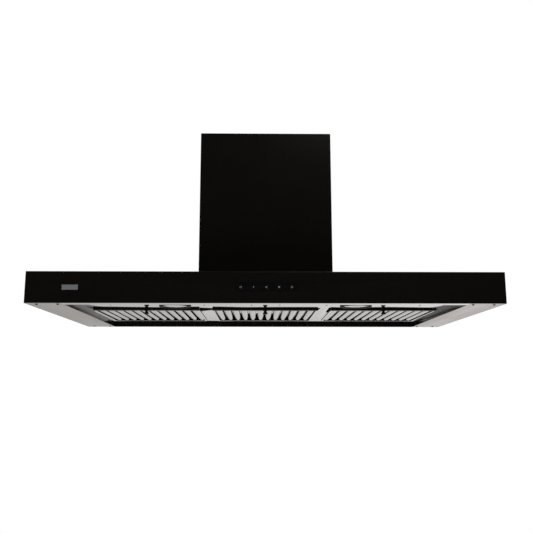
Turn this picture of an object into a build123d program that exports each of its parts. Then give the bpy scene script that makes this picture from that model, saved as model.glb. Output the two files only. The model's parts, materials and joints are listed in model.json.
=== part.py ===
"""Ceiling-hung island range hood: a flat black canopy with three baffle filters, two lamps and a
touch strip, a blower inside a square chimney, and a telescopic frame that hangs from a ceiling plate.

Units are millimetres. Every piece is drawn with z = 0 at the canopy's bottom rim, +X to the right
and -Y to the front, and is lowered at export so that the origin is the middle of the ceiling plate's
top face, where the hood is bolted up.
"""

from build123d import *

import os
from math import acos, degrees, radians, sin

# Overall sizes
canopy_width = 1200.0
canopy_depth = 650.0
canopy_height = 80.0
overall_height = 500.0
chimney_width = 365.0

# Sheet thicknesses and general clearances
shell_sheet = 1.2
liner_sheet = 1.0
liner_hem = 15.0
chimney_sheet = 1.0
plate_sheet = 2.0
fit_gap = 0.2
slide_gap = 1.5
bend_radius = 2.0

# Canopy underside
recess_height = 14.0
front_flange = 31.0
side_cover_width = 88.5
cover_screw_radius = 2.0
cover_screw_head_radius = 3.2
cover_screw_pitch = 53.0
cover_screw_edge = 23.8
cover_screw_inset = 20.5
cover_outer_upstand = 10.0
cover_lip = 1.2
bracket_sheet = 1.5
bracket_leg = 30.0
bracket_end_gap = 12.0
rivet_radius = 1.6
rivet_head_radius = 2.6
rivet_places = (420.0, 166.0, 38.0)
rivet_y = -168.0
stiffener_width = 16.0
stiffener_sheet = 1.2
box_side_gap = 6.0

# Filters
filter_width = 300.0
filter_depth = 313.0
filter_height = 14.3
filter_drop = 3.5
filter_gap = 38.0
filter_front_y = -80.0
filter_side_gap = 1.0
filter_rear_gap = 2.0
filter_sheet = 1.0
frame_side_flange = 5.0
frame_end_flange = 14.0
baffle_pitch = 24.5
baffle_count = 12
baffle_sheet = 0.8
lower_baffle_width = 18.5
lower_baffle_height = 6.0
upper_baffle_width = 13.5
upper_baffle_height = 7.5
baffle_clearance = 0.1
tab_length = 10.0
tab_width = 24.0
tab_sheet = 1.2
knob_neck_radius = 3.3
knob_tip_radius = 5.6
knob_length = 10.5
knob_neck_height = 2.0
knob_stud_radius = 2.0
drain_slot_length = 26.0
drain_slot_width = 4.0
clip_width = 16.0
clip_place = 0.32
tab_place = 0.6

# Lamps
lamp_spacing = 490.0
lamp_y = -170.0
lamp_bezel_radius = 43.0
lamp_lens_radius = 34.0
lamp_bezel_height = 3.0
lamp_lens_sheet = 1.2
lamp_housing_height = 20.0
lamp_fin_gap = 2.4
lamp_fin_pitch = 7.5
lamp_fin_count = 7

# Touch strip and badge on the front
touch_width = 156.0
touch_height = 21.7
touch_z = 40.7
touch_border = 2.5
touch_tray_depth = 12.0
badge_width = 40.0
badge_height = 12.6
badge_sheet = 0.8
badge_x = -488.0
badge_z = touch_z - 1.2

# Electrics
control_box_front = -110.0
control_box_rear = 70.0
control_box_bottom = 30.0
box_sheet = 1.0
driver_width = 48.0
driver_length = 140.0
driver_height = 28.0
lead_radius = 2.2
lead_bend = 14.0
touch_lead_z = 46.0

# Blower
blower_width = 300.0
blower_depth = 280.0
blower_height = 248.0
inlet_width = 276.0
inlet_depth = 256.0
scroll_radii = (105.0, 98.0, 91.0, 84.0)
scroll_width = 130.0
scroll_y = -35.0
scroll_z = 192.0
tongue_offset = 47.0
scroll_inlet_radius = 57.0
impeller_radius = 75.0
impeller_inner_radius = 58.0
impeller_width = 100.0
impeller_blades = 36
motor_radius = 42.0
motor_length = 62.0
shaft_radius = 4.0
bearing_gap = 0.3
impeller_blade_sheet = 1.3
impeller_blade_sweep = 32.0
capacitor_radius = 18.0
capacitor_z = 290.0
gland_x = 118.0
gland_y = -108.0
gland_bore_radius = 4.5
gland_thread_radius = 6.5
gland_thread = 9.0
gland_nut_radius = 11.0

# Outlet, duct collar and damper
collar_radius = 75.0
collar_length = 50.0
collar_wall = 2.0
adaptor_shoulder = 7.0
adaptor_height = 15.0
damper_pin_radius = 1.5
damper_pin_inset = 0.5
damper_knuckle_radius = 2.8
damper_sheet = 1.0
damper_rim_gap = 0.8
damper_pin_gap = 0.08
knuckle_length = 22.0
knuckle_gap = 1.0

# Hanging frame
post_leg = 25.0
post_sheet = 2.0
lower_post_top = 455.0
frame_bolt_radius = 3.0
frame_bolt_head_radius = 5.5
frame_bolt_head_height = 4.0
frame_nut_height = 5.0
frame_travel = 300.0
ceiling_opening = 300.0
ceiling_hole_radius = 4.5
ceiling_holes_x = 328.0
ceiling_holes_y = 200.0
upper_cover_bottom = 110.0
vent_slots = 8
vent_length = 90.0
vent_height = 5.0
vent_pitch = 12.0
vent_place = 62.0
vent_top_margin = 40.0
chimney_tab_width = 32.0
chimney_tab_leg = 12.0
rear_screw_radius = 1.7
rear_screw_head_radius = 3.2
rear_screw_edge = 7.0
rear_screw_rows = 4
rear_screw_end = 30.0

# Sizes that follow from the ones above
half_width = canopy_width / 2
half_depth = canopy_depth / 2
inner_half_width = half_width - shell_sheet
inner_half_depth = half_depth - shell_sheet
cover_inner_x = inner_half_width - fit_gap - side_cover_width
liner_half_width = cover_inner_x + 4.0
liner_front_y = -inner_half_depth + fit_gap + front_flange
liner_top = recess_height + liner_sheet
filter_bottom = recess_height - filter_drop
filter_top = filter_bottom + filter_height
filter_rear_y = filter_front_y + filter_depth
filter_pitch = filter_width + filter_gap
filter_centres = {"left": -filter_pitch, "centre": 0.0, "right": filter_pitch}
lamp_centres = {"left": -lamp_spacing / 2, "right": lamp_spacing / 2}
lamp_neck_radius = lamp_lens_radius + 1.0
lamp_lens_seat = lamp_lens_radius - 2.0
canopy_top = canopy_height
hanger_top = canopy_top + plate_sheet
blower_top = hanger_top + blower_height
adaptor_base = blower_top + shell_sheet
collar_base = adaptor_base + adaptor_height
adaptor_width = 2 * (collar_radius + adaptor_shoulder)
collar_top = collar_base + collar_length
damper_z = collar_base + 8.0
knuckle_reach = collar_radius - 13.0
knuckle_middle = knuckle_reach - knuckle_length / 2
front_knuckles = [(x - knuckle_length / 2, x + knuckle_length / 2)
                  for x in (-knuckle_middle, 0, knuckle_middle)]
rear_knuckles = [(left[1] + knuckle_gap, right[0] - knuckle_gap)
                 for left, right in zip(front_knuckles, front_knuckles[1:])]
chimney_inner = chimney_width / 2 - chimney_sheet
chimney_tab_reach = chimney_inner - chimney_tab_leg / 2 - 0.5
upper_cover_half = chimney_inner - slide_gap
upper_cover_inner = upper_cover_half - chimney_sheet
upper_post_face = upper_cover_inner - 2.0
lower_post_face = upper_post_face - post_sheet - 0.5
ceiling_plate_bottom = overall_height - plate_sheet
bolt_z = lower_post_top - 15.0
foot_bolt_xy = lower_post_face - post_leg / 2
box_top = canopy_top - shell_sheet - 0.1
board_x = -liner_half_width - box_side_gap
driver_x = liner_half_width + box_side_gap + 2.0


def box(x0, x1, y0, y1, z0, z1):
    """A block between two corners."""
    return Pos((x0 + x1) / 2, (y0 + y1) / 2, (z0 + z1) / 2) * Box(x1 - x0, y1 - y0, z1 - z0)


def centred_box(width, depth, z0, z1, x=0.0, y=0.0):
    """A block centred on a point in plan, between two heights."""
    return box(x - width / 2, x + width / 2, y - depth / 2, y + depth / 2, z0, z1)


def rod(radius, z0, z1, x=0.0, y=0.0):
    """An upright cylinder between two heights."""
    return Pos(x, y, (z0 + z1) / 2) * Cylinder(radius, z1 - z0)


def rod_along_x(radius, x0, x1, y, z):
    """A cylinder lying along X."""
    return Pos((x0 + x1) / 2, y, z) * Rot(0, 90, 0) * Cylinder(radius, x1 - x0)


def rod_along_y(radius, y0, y1, x, z):
    """A cylinder lying along Y."""
    return Pos(x, (y0 + y1) / 2, z) * Rot(90, 0, 0) * Cylinder(radius, y1 - y0)


def tube(outer, inner, z0, z1, x=0.0, y=0.0):
    """An upright ring between two heights."""
    return rod(outer, z0, z1, x, y) - rod(inner, z0 - 1, z1 + 1, x, y)


def rounded_block(width, depth, radius, z0, z1):
    """A block with rounded upright edges, centred in plan."""
    return Pos(0, 0, z0) * extrude(RectangleRounded(width, depth, radius), z1 - z0)


def corners(x, y):
    """The four points at plus and minus x and y."""
    return [(sx * x, sy * y) for sx in (-1, 1) for sy in (-1, 1)]


def pan_screw(x, y, z_seat, head_radius, head_height, shank_radius, shank_length, head_down):
    """A pan-head screw on a horizontal face. The head is below the seat if head_down."""
    way = -1 if head_down else 1
    z_head = z_seat + way * head_height
    head = rod(head_radius, min(z_seat, z_head), max(z_seat, z_head), x, y)
    rim = head.faces().sort_by(Axis.Z)[0 if head_down else -1].edges()
    head = fillet(rim, head_height * 0.45)
    far = z_seat - way * shank_length
    return head + rod(shank_radius, min(z_seat, far), max(z_seat, far), x, y)


# Canopy ------------------------------------------------------------------------------------------


def canopy_shell():
    """The folded black outer shell: top and four skirts, open below."""
    outer = rounded_block(canopy_width, canopy_depth, bend_radius, 0, canopy_top)
    outer = fillet(outer.faces().sort_by(Axis.Z)[-1].edges(), bend_radius * 0.6)
    shell = outer - centred_box(2 * inner_half_width, 2 * inner_half_depth, -1, canopy_top - shell_sheet)
    shell -= centred_box(inlet_width, inlet_depth, canopy_top - 2 * shell_sheet, canopy_top + 1)
    slot_w = touch_width - 2 * touch_border
    slot_h = touch_height - 2 * touch_border
    shell -= box(-slot_w / 2, slot_w / 2, -half_depth - 1, -inner_half_depth + 1,
                 touch_z - slot_h / 2, touch_z + slot_h / 2)
    for x, y in corners(foot_bolt_xy, foot_bolt_xy):
        shell -= rod(frame_bolt_radius + fit_gap, canopy_top - 3, canopy_top + 1, x, y)
    for x, y in chimney_tab_points():
        shell -= rod(cover_screw_radius + fit_gap, canopy_top - 3, canopy_top + 1, x, y)
    return shell


def liner():
    """The stainless ceiling of the recess, with its front flange, three filter windows and lamp holes."""
    rear_y = inner_half_depth - fit_gap
    front_y = -inner_half_depth + fit_gap
    sheet = box(-liner_half_width, liner_half_width, liner_front_y, rear_y, recess_height, liner_top)
    riser = box(-cover_inner_x + fit_gap, cover_inner_x - fit_gap,
                liner_front_y - liner_sheet, liner_front_y, 0, liner_top)
    flange = box(-cover_inner_x + fit_gap, cover_inner_x - fit_gap,
                 front_y, liner_front_y, 0, liner_sheet)
    upstand = box(-cover_inner_x + fit_gap, cover_inner_x - fit_gap,
                  front_y, front_y + liner_sheet, 0, recess_height)
    rear_upstand = box(-liner_half_width, liner_half_width, rear_y - liner_sheet, rear_y,
                       recess_height, recess_height + liner_hem)
    plate = sheet + riser + flange + upstand + rear_upstand
    for x in filter_centres.values():
        plate -= box(x - filter_width / 2 - filter_side_gap, x + filter_width / 2 + filter_side_gap,
                     filter_front_y - filter_side_gap, filter_rear_y + filter_rear_gap,
                     recess_height - 1, liner_top + 1)
    for x in lamp_centres.values():
        plate -= rod(lamp_neck_radius + 0.5, recess_height - 1, liner_top + 1, x, lamp_y)
    for x, y in rivet_points():
        plate -= rod(rivet_radius, recess_height - 1, liner_top + 1, x, y)
    return plate


def side_cover(side):
    """One stainless strip that closes an end of the underside, turned up along both long edges."""
    inner = cover_inner_x
    outer = inner_half_width - fit_gap
    length = inner_half_depth - fit_gap
    strip = box(inner, outer, -length, length, 0, liner_sheet)
    strip += box(inner, inner + liner_sheet, -length, length, 0, recess_height - 0.1)
    strip += box(outer - liner_sheet, outer, -length, length, 0, cover_outer_upstand)
    for x, y in cover_screw_points():
        strip -= rod(cover_screw_radius + fit_gap, -1, 2, x, y)
    return strip if side > 0 else mirror(strip, Plane.YZ)


def cover_screw_points():
    """Screw places on the right-hand cover: two at each end."""
    outer = inner_half_width - cover_screw_edge
    y = inner_half_depth - cover_screw_inset
    return [(x, sy * y) for x in (outer, outer - cover_screw_pitch) for sy in (-1, 1)]


def side_cover_brackets():
    """Four angle brackets inside the canopy's corners that the side covers screw up to."""
    top = liner_sheet + bracket_sheet
    x0 = liner_half_width + 2
    x1 = inner_half_width - bracket_end_gap
    wall = inner_half_depth
    bracket = box(x0, x1, wall - bracket_leg, wall - fit_gap, liner_sheet, top)
    bracket += box(x0, x1, wall - bracket_sheet, wall, cover_lip, bracket_leg)
    for x, y in cover_screw_points():
        bracket -= rod(cover_screw_radius, 0, top + 1, x, y)
    rear = [bracket, mirror(bracket, Plane.YZ)]
    return rear + [mirror(b, Plane.XZ) for b in rear]


def side_cover_screws():
    """Eight black pan-head screws under the side covers."""
    screws = [pan_screw(x, y, 0, cover_screw_head_radius, 1.8, cover_screw_radius, 7, True)
              for x, y in cover_screw_points()]
    return screws + [mirror(s, Plane.YZ) for s in screws]


def rivet_points():
    """Rivets along the front strip of the liner, clear of the lamps."""
    return [(sx * x, rivet_y) for sx in (-1, 1) for x in rivet_places]


def liner_rivets():
    """Dome rivets that hold the liner's stiffener strip."""
    return [pan_screw(x, y, recess_height, rivet_head_radius, 0.9, rivet_radius, liner_sheet + 1.5, True)
            for x, y in rivet_points()]


def liner_stiffener():
    """The flat bar riveted above the liner's front strip."""
    z0 = liner_top
    half = liner_half_width - 20
    bar = centred_box(2 * half, stiffener_width, z0, z0 + stiffener_sheet, 0, rivet_y)
    for x, y in rivet_points():
        bar -= rod(rivet_radius, z0 - 1, z0 + 3, x, y)
    for x in lamp_centres.values():
        bar -= centred_box(2 * lamp_neck_radius + 6, 40, z0 - 1, z0 + 3, x, rivet_y)
    return bar


# Filters -----------------------------------------------------------------------------------------


def filter_frame(x):
    """The folded C-section frame that holds a filter's baffles, with two tongues at its rear."""
    half = filter_width / 2
    y0 = filter_front_y
    y1 = filter_rear_y
    z0 = filter_bottom
    z1 = filter_top
    t = filter_sheet
    frame = box(-half, half, y0, y1, z0, z1)
    frame -= box(-half + t, half - t, y0 + t, y1 - t, z0 + t, z1 - t)
    frame -= box(-half + frame_side_flange, half - frame_side_flange,
                 y0 + frame_end_flange, y1 - frame_end_flange, z0 - 1, z1 + 1)
    tab_z = liner_top + 2 * fit_gap
    drain = extrude(SlotOverall(drain_slot_length, drain_slot_width), 2 * t, both=True)
    for tx in (-half * tab_place, half * tab_place):
        frame += box(tx - tab_width / 2, tx + tab_width / 2, y1 - t, y1 + filter_rear_gap + tab_length,
                     tab_z, tab_z + tab_sheet)
        frame -= Pos(tx, y1 - frame_end_flange / 2, z0) * drain
    frame -= rod(knob_stud_radius, z0 - 1, z0 + t + 1, 0, y0 + frame_end_flange / 2)
    return Pos(x, 0, 0) * frame


def lower_baffles(x):
    """The lower row of channels, open upward, that face the cook."""
    z0 = filter_bottom + filter_sheet + baffle_clearance
    return baffle_row(x, baffle_count, lower_baffle_width, lower_baffle_height, z0, False)


def upper_baffles(x):
    """The upper row of channels, open downward, over the gaps of the lower row."""
    z0 = filter_top - filter_sheet - baffle_clearance - upper_baffle_height
    return baffle_row(x, baffle_count - 1, upper_baffle_width, upper_baffle_height, z0, True)


def baffle_row(x, count, width, height, z0, inverted):
    """Equal U channels side by side at the baffle pitch, between the frame's end walls."""
    y0 = filter_front_y + filter_sheet + 0.3
    y1 = filter_rear_y - filter_sheet - 0.3
    t = baffle_sheet
    block = box(-width / 2, width / 2, y0, y1, z0, z0 + height)
    floor = -1 if inverted else t
    channel = block - box(-width / 2 + t, width / 2 - t, y0 - 1, y1 + 1,
                          z0 + floor, z0 + height + (-t if inverted else 1))
    first = -(count - 1) / 2 * baffle_pitch
    return [Pos(x + first + i * baffle_pitch, 0, 0) * channel for i in range(count)]


def filter_knob(x):
    """The flared pull knob under a filter's front bar, with its stud."""
    z0 = filter_bottom
    tip = z0 - knob_length
    with BuildSketch(Plane.XZ) as profile:
        with BuildLine():
            Polyline((0, z0), (knob_neck_radius + 0.8, z0), (knob_neck_radius, z0 - knob_neck_height),
                     (knob_tip_radius, tip + 2.2))
            ThreePointArc((knob_tip_radius, tip + 2.2), (knob_tip_radius * 0.86, tip + 0.7),
                          (knob_tip_radius * 0.55, tip))
            Polyline((knob_tip_radius * 0.55, tip), (0, tip), (0, z0))
        make_face()
    knob = revolve(profile.sketch, Axis.Z)
    knob += rod(knob_stud_radius, z0, z0 + filter_sheet + baffle_clearance)
    return Pos(x, filter_front_y + frame_end_flange / 2, 0) * knob


def filter_clips(x):
    """Two leaf springs on a filter's front bar that snap over the edge of the liner's window."""
    y = filter_front_y
    z_low = liner_top + fit_gap
    reach = filter_side_gap + 2.2
    with BuildSketch(Plane.YZ) as profile:
        with BuildLine():
            Polyline((y - 0.5, filter_top), (y, filter_top), (y, z_low + 0.4), (y - 0.5, z_low + 0.4),
                     (y - 0.5, z_low + 0.9))
            ThreePointArc((y - 0.5, z_low + 0.9), (y - reach, z_low + 2.2), (y - 0.5, z_low + 5.2))
            Line((y - 0.5, z_low + 5.2), (y - 0.5, filter_top))
        make_face()
    leaf = Pos(-clip_width / 2, 0, 0) * extrude(profile.sketch, clip_width)
    return [Pos(x + sx * filter_width * clip_place, 0, 0) * leaf for sx in (-1, 1)]


# Lamps -------------------------------------------------------------------------------------------

def lamp_bezel(x):
    """A lamp's trim ring: a flat rim under the liner and a neck through it."""
    z0 = recess_height - lamp_bezel_height
    rim = tube(lamp_bezel_radius, lamp_lens_radius, z0, recess_height)
    outer_edge = rim.faces().sort_by(Axis.Z)[0].edges().sort_by(SortBy.RADIUS)
    rim = fillet(outer_edge[-1:], 1.2)
    rim = chamfer(rim.faces().sort_by(Axis.Z)[0].edges().sort_by(SortBy.RADIUS)[:1], 0.8)
    neck = tube(lamp_neck_radius, lamp_lens_seat, recess_height - 0.5, recess_height + 4)
    return Pos(x, lamp_y, 0) * (rim + neck)


def lamp_lens(x):
    """The frosted disc inside the trim ring."""
    z1 = recess_height - 0.5
    return rod(lamp_lens_radius - fit_gap, z1 - lamp_lens_sheet, z1, x, lamp_y)


def lamp_housing(x):
    """The finned heat sink that holds the light source above the lens."""
    z0 = recess_height
    z1 = recess_height + lamp_housing_height
    radius = lamp_lens_seat - fit_gap
    body = rod(radius, z0, z1, x, lamp_y)
    first = -(lamp_fin_count - 1) / 2 * lamp_fin_pitch
    for i in range(lamp_fin_count):
        body -= centred_box(lamp_fin_gap, 3 * radius, z0 + 9, z1 + 1, x + first + i * lamp_fin_pitch, lamp_y)
    return body


# Touch strip and badge ---------------------------------------------------------------------------


def front_plate(width, height, y0, y1, x=0.0, z=touch_z, radius=0.8):
    """A thin upright plate parallel to the front, with rounded corners."""
    plate = extrude(Plane.XZ * RectangleRounded(width, height, radius), -(y1 - y0))
    return Pos(x, y0, z) * plate


def touch_bezel():
    """The raised border round the touch strip."""
    inner_w = touch_width - 2 * touch_border
    inner_h = touch_height - 2 * touch_border
    return (front_plate(touch_width, touch_height, -half_depth - 0.5, -half_depth, radius=2)
            - front_plate(inner_w, inner_h, -half_depth - 1, -half_depth + 1))


def touch_glass():
    """The strip of black glass that is touched."""
    width = touch_width - 2 * touch_border - 2 * fit_gap
    height = touch_height - 2 * touch_border - 2 * fit_gap
    return front_plate(width, height, -half_depth - 0.3, -half_depth + 1.8)


def touch_board():
    """The circuit board behind the touch glass."""
    width = touch_width - 2 * touch_border - 4
    height = touch_height - 2 * touch_border - 2
    return front_plate(width, height, -half_depth + 2.4, -half_depth + 4.0)


def touch_housing():
    """The tray behind the front skirt that carries the touch board."""
    y0 = -inner_half_depth
    width = touch_width + 8
    height = touch_height + 6
    tray = front_plate(width, height, y0, y0 + touch_tray_depth)
    return tray - front_plate(width - 3, height - 3, y0 - 1, y0 + touch_tray_depth - 1.5)


def badge_plate():
    """A blank metal plate on the front, at the left."""
    return front_plate(badge_width, badge_height, -half_depth - badge_sheet, -half_depth, badge_x, badge_z, 1.0)


# Electrics in the canopy's ends ------------------------------------------------------------------


def control_box():
    """The sheet box at the left that holds the control electronics, with its lid below."""
    x0 = -inner_half_width + 4
    y0 = control_box_front
    y1 = control_box_rear
    z0 = control_box_bottom
    t = box_sheet
    case = box(x0, board_x, y0, y1, z0, box_top) - box(x0 + t, board_x - t, y0 + t, y1 - t, z0 - 1, box_top - t)
    inset = t + fit_gap
    lid = box(x0, board_x, y0, y1, z0 - 1.2, z0)
    lid += box(x0 + inset, board_x - inset, y0 + inset, y1 - inset, z0, z0 + t)
    return [case, lid]


def control_board():
    """The control circuit board with its relays and capacitors."""
    x1 = board_x - 5
    x0 = -inner_half_width + 9
    y0 = control_box_front + 6
    z0 = control_box_bottom + 6
    top = z0 + 1.6
    board = box(x0, x1, y0, control_box_rear - 6, z0, top)
    relay = box(x0 + 6, x0 + 20, y0 + 6, y0 + 22, top, z0 + 16)
    relays = [Pos(16 * (i % 2), 24 * i, 0) * relay for i in range(5)]
    capacitors = [rod(5, top, z0 + 20, x1 - 10, y0 + 24 + 30 * i) for i in range(4)]
    return [board] + relays + capacitors


def led_driver():
    """The lamp power supply at the right."""
    x = driver_x + driver_width / 2
    body = centred_box(driver_width, driver_length, box_top - driver_height, box_top, x)
    return fillet(body.edges().filter_by(Axis.Y), 2)


def lamp_lead(name, y, drop):
    """A lead from the lamp supply to one lamp, hanging that far under the canopy's top."""
    x = lamp_centres[name]
    level = canopy_top - shell_sheet - lead_radius - 0.5 - drop
    points = [(driver_x, y, level), (driver_x - 40, y, level), (x + 60, lamp_y + 40, level),
              (x, lamp_y, level), (x, lamp_y, recess_height + lamp_housing_height)]
    return lead(points, lead_radius, lead_bend)


def touch_lead():
    """The lead from the control box to the touch strip's tray."""
    tray_y = -inner_half_depth + touch_tray_depth
    y = control_box_front + 20
    z = touch_lead_z
    points = [(board_x, y, z), (board_x + 60, y, z), (-60, tray_y + 48, z), (0, tray_y + 48, z), (0, tray_y, z)]
    return lead(points, lead_radius, lead_bend)


def wiring():
    """Three leads inside the canopy, clipped under its top: two to the lamps and one to the touch strip."""
    return [lamp_lead("left", -60.0, 6.0), lamp_lead("right", -40.0, 16.0), touch_lead()]


def lead(points, radius, bend):
    """A round lead along straight runs joined by arcs."""
    path = FilletPolyline(*points, radius=bend)
    section = Plane(origin=path @ 0, z_dir=path % 0) * Circle(radius)
    return sweep(section, path)


# Blower ------------------------------------------------------------------------------------------


def hanger_plate():
    """The thick plate on the canopy's top that the frame posts and the blower box stand on."""
    half = chimney_inner - 0.5
    plate = centred_box(2 * half, 2 * half, canopy_top, hanger_top)
    plate -= centred_box(inlet_width, inlet_depth, canopy_top - 1, hanger_top + 1)
    for x, y in corners(foot_bolt_xy, foot_bolt_xy):
        plate -= rod(frame_bolt_radius + fit_gap, canopy_top - 1, hanger_top + 1, x, y)
    for x, y in chimney_tab_points():
        plate -= rod(cover_screw_radius + fit_gap, canopy_top - 1, hanger_top + 1, x, y)
    return plate


def blower_box():
    """The galvanised box round the blower, open below, with a flange and a rectangular outlet on top."""
    t = shell_sheet
    case = centred_box(blower_width, blower_depth, hanger_top, blower_top + t)
    case -= centred_box(blower_width - 2 * t, blower_depth - 2 * t, hanger_top - 1, blower_top)
    flange = centred_box(blower_width + 16, blower_depth + 16, hanger_top, hanger_top + t)
    case += flange - centred_box(blower_width - 2 * t, blower_depth - 2 * t, hanger_top - 1, hanger_top + 9)
    case -= box(-scroll_width / 2, scroll_width / 2, scroll_y + tongue_offset, scroll_y + scroll_radii[0],
                blower_top - 1, blower_top + t + 1)
    case -= rod(gland_thread_radius + fit_gap, blower_top - 1, blower_top + t + 1, gland_x, gland_y)
    return case


def scroll_outline(grow):
    """The scroll's outline across the shaft, grown outward: four quarter arcs of falling radius that
    meet in line, and the straight outlet up to the box's top."""
    r0, r1, r2, r3 = scroll_radii
    top = blower_top - scroll_z
    c4 = (-(r1 - r2), -(r0 - r1) + (r2 - r3))
    end = degrees(acos((tongue_offset - grow - c4[0]) / (r3 + grow)))
    tip = (tongue_offset - grow, c4[1] + (r3 + grow) * sin(radians(end)))
    with BuildSketch() as outline:
        with BuildLine():
            Line((r0 + grow, top), (r0 + grow, 0))
            CenterArc((0, 0), r0 + grow, 0, -90)
            CenterArc((0, -(r0 - r1)), r1 + grow, -90, -90)
            CenterArc((-(r1 - r2), -(r0 - r1)), r2 + grow, 180, -90)
            CenterArc(c4, r3 + grow, 90, end - 90)
            Line(tip, (tongue_offset - grow, top))
            Line((tongue_offset - grow, top), (r0 + grow, top))
        make_face()
    return outline.sketch


def in_shaft_frame(shape, x):
    """Stands a flat outline upright across the shaft, at x."""
    return Plane(origin=(x, scroll_y, scroll_z), x_dir=(0, 1, 0), z_dir=(1, 0, 0)) * shape


def scroll_wrap():
    """The curved wall of the scroll."""
    wall = extrude(in_shaft_frame(scroll_outline(shell_sheet), -scroll_width / 2), scroll_width)
    air = extrude(in_shaft_frame(scroll_outline(0), -scroll_width / 2 - 1), scroll_width + 2)
    return wall - air


def scroll_sides():
    """The scroll's two side plates, each with its air inlet and a bar to the box's walls."""
    x = scroll_width / 2
    reach = blower_depth / 2 - shell_sheet - 0.1
    plate = extrude(in_shaft_frame(scroll_outline(shell_sheet), x), shell_sheet)
    plate += box(x, x + shell_sheet, -reach, reach, scroll_z + 40, scroll_z + 56)
    plate -= rod_along_x(scroll_inlet_radius, x - 5, x + 5, scroll_y, scroll_z)
    return [plate, mirror(plate, Plane.YZ)]


def motor_body():
    """The fan motor, in the left half of the impeller."""
    x1 = -4.0
    x0 = x1 - motor_length
    body = rod_along_x(motor_radius, x0, x1, scroll_y, scroll_z)
    body = fillet(body.edges().filter_by(GeomType.CIRCLE), 5)
    body += rod_along_x(14, x0 - 6, x0, scroll_y, scroll_z)
    return body - rod_along_x(shaft_radius + bearing_gap, x0 - 8, x1 + 1, scroll_y, scroll_z)


def motor_bracket():
    """The three-armed bracket that holds the motor on the left side plate."""
    x1 = -scroll_width / 2 - shell_sheet
    x0 = x1 - 2.5
    hub = rod_along_x(24, x0, x1, scroll_y, scroll_z)
    arm = box(x0, x1, -5, 5, 0, scroll_inlet_radius + 12)
    for i in range(3):
        hub += Pos(0, scroll_y, scroll_z) * Rot(120 * i, 0, 0) * arm
    hub -= rod_along_x(14.1, x0 - 1, x1 + 1, scroll_y, scroll_z)
    return hub


def motor_shaft():
    """The shaft through the motor to the impeller's hub."""
    return rod_along_x(shaft_radius, -motor_length - 14, 24, scroll_y, scroll_z)


def impeller():
    """The moulded double-inlet fan wheel: hub, middle disc, end rings and swept blades."""
    half = impeller_width / 2
    depth = impeller_radius - impeller_inner_radius
    with BuildSketch() as blade_ring:
        with PolarLocations((impeller_radius + impeller_inner_radius) / 2, impeller_blades):
            Rectangle(depth * 1.05, impeller_blade_sheet, rotation=impeller_blade_sweep)
    blades = extrude(in_shaft_frame(blade_ring.sketch, -half), impeller_width)
    disc = rod_along_x(impeller_radius, 0, 2, scroll_y, scroll_z)
    hub = rod_along_x(12, 2, 20, scroll_y, scroll_z)
    ring = rod_along_x(impeller_radius + 1, half - 3, half, scroll_y, scroll_z)
    ring -= rod_along_x(impeller_radius - 5, half - 4, half + 1, scroll_y, scroll_z)
    wheel = disc + hub + [ring, mirror(ring, Plane.YZ)] + blades
    return wheel - rod_along_x(shaft_radius, -5, 30, scroll_y, scroll_z)


def motor_capacitor():
    """The motor's run capacitor on the box's right wall, with its strap."""
    r = capacitor_radius
    x = blower_width / 2 - shell_sheet - r - 1
    can = rod_along_y(r, -120, -60, x, capacitor_z)
    strap = rod_along_y(r + 1, -96, -88, x, capacitor_z) - rod_along_y(r, -100, -80, x, capacitor_z)
    return [fillet(can.edges().filter_by(GeomType.CIRCLE), 2), strap]


def cable_gland():
    """The cable gland on the blower box, where the mains lead comes down from the ceiling."""
    z0 = blower_top + shell_sheet
    nut = Pos(gland_x, gland_y, z0) * extrude(RegularPolygon(gland_nut_radius, 6), 6)
    body = nut + rod(8.5, z0 + 6, z0 + 14, gland_x, gland_y)
    body += Pos(gland_x, gland_y, z0 + 14) * extrude(RegularPolygon(9.5, 6), 6)
    body += rod(gland_thread_radius, z0 - gland_thread, z0, gland_x, gland_y)
    return body - rod(gland_bore_radius, z0 - gland_thread - 1, z0 + 30, gland_x, gland_y)


# Outlet and damper -------------------------------------------------------------------------------


def outlet_adaptor():
    """The moulded outlet: a square base on the blower box and a round collar for the duct."""
    half = adaptor_width / 2
    base = rounded_block(adaptor_width, adaptor_width, 8, adaptor_base, collar_base)
    base -= rounded_block(adaptor_width - 2 * collar_wall, adaptor_width - 2 * collar_wall, 6,
                          adaptor_base - 1, collar_base - collar_wall)
    inner = collar_radius - collar_wall
    base -= rod(inner, adaptor_base, collar_base + 1)
    collar = tube(collar_radius, inner, collar_base - collar_wall, collar_top)
    ledge_top = damper_z - damper_sheet / 2 - fit_gap
    ledge = tube(inner + 0.5, inner - 4, ledge_top - 1, ledge_top)
    ledge -= centred_box(2 * collar_radius, 10, damper_z - 10, damper_z + 10)
    collar += ledge
    body = base + collar
    return body - rod_along_x(damper_pin_radius, -half - 1, half + 1, 0, damper_z)


def damper_pin():
    """The wire that both damper flaps swing on."""
    reach = collar_radius - damper_pin_inset
    return rod_along_x(damper_pin_radius, -reach, reach, 0, damper_z)


def damper_flap(side, knuckles):
    """One half-round flap of the backdraught damper, with its curled knuckles. side is -1 for the front."""
    radius = collar_radius - collar_wall - damper_rim_gap
    edge = damper_knuckle_radius + 0.5
    bottom = damper_z - damper_sheet / 2
    top = damper_z + damper_sheet / 2
    flap = rod(radius, bottom, top)
    keep = box(-radius - 1, radius + 1, min(side * edge, side * radius), max(side * edge, side * radius),
               damper_z - 5, damper_z + 5)
    flap = flap & keep
    for x0, x1 in knuckles:
        flap += rod_along_x(damper_knuckle_radius, x0, x1, 0, damper_z)
        flap += box(x0, x1, min(0, side * edge), max(0, side * edge), bottom, top)
    return flap - rod_along_x(damper_pin_radius + damper_pin_gap, -collar_radius, collar_radius, 0, damper_z)


# Chimney -----------------------------------------------------------------------------------------


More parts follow.
